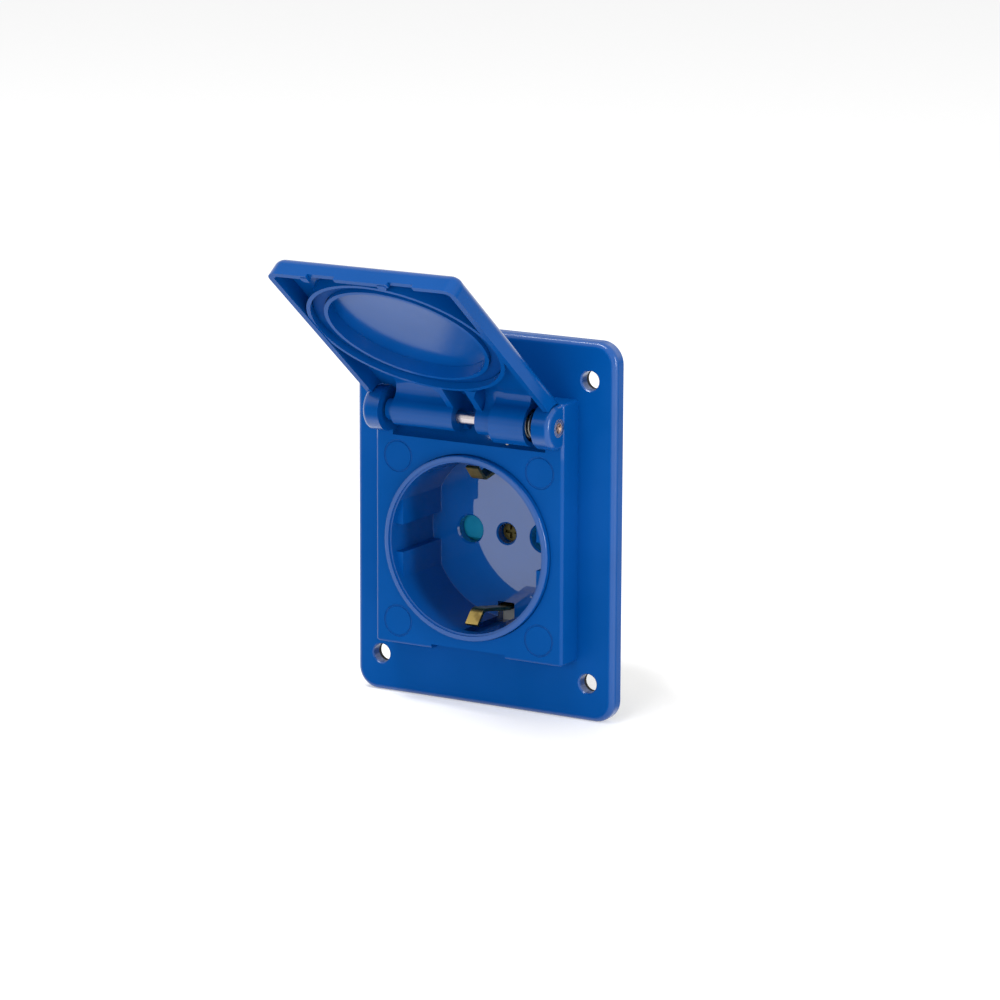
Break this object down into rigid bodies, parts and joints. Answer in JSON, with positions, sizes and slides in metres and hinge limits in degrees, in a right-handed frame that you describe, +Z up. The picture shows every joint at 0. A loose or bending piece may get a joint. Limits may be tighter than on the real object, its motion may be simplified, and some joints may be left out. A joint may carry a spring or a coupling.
{
  "type": "waterproof flush wall socket",
  "caption": "Flush-mounted earthed socket outlet in a rectangular flanged frame, with a sprung hinged lid standing open and shuttered pin holes in a round well.",
  "frame": {"origin": "centre of the fixing hole pattern on the back plane of the flange, where it lies on the panel", "axes": "+X to the right seen from the front, +Y into the panel away from the viewer, +Z up"},
  "size_m": [0.067, 0.0925, 0.1068],
  "materials": {
    "blue_plastic": "glossy moulded plastic, saturated blue",
    "blue_rubber": "satin soft blue elastomer",
    "black_rubber": "matt black sealing foam",
    "teal_plastic": "satin teal moulded plastic",
    "grey_plastic": "matt light grey insulating moulding",
    "brass": "bright stamped and turned brass",
    "spring_steel": "bright drawn spring wire",
    "zinc_steel": "zinc-plated steel"
  },
  "bodies": {
    "socket": {"front_frame": "blue_plastic", "panel_gasket": "black_rubber", "socket_well": "blue_plastic", "contact_base": "grey_plastic", "base_screws": "zinc_steel", "centre_screw": "brass", "earth_bridge": "brass", "live_contact": "brass", "neutral_contact": "brass", "live_contact_spring": "spring_steel", "neutral_contact_spring": "spring_steel", "live_terminal": "brass", "neutral_terminal": "brass", "earth_terminal": "brass", "terminal_screws": "zinc_steel", "shutter_spring": "spring_steel", "hinge_pin": "zinc_steel", "lid_spring": "spring_steel"},
    "lid": {"lid": "blue_plastic", "lid_seal": "blue_rubber"},
    "shutter": {"shutter": "teal_plastic"}
  },
  "joints": [
    {"name": "lid_hinge", "type": "hinge", "parent": "socket", "child": "lid", "pos_m": [0, -0.0118, 0.0248], "axis": [1, 0, 0], "range_deg": [0, 129], "stiffness_Nm_per_rad": 0.008, "springref_deg": 148.97, "deforming": ["lid_spring"]},
    {"name": "shutter_turn", "type": "hinge", "parent": "socket", "child": "shutter", "pos_m": [0, 0.0103, -0.0051], "axis": [0, 1, 0], "range_deg": [0, 42], "stiffness_Nm_per_rad": 0.0008, "deforming": ["shutter_spring"]}
  ]
}
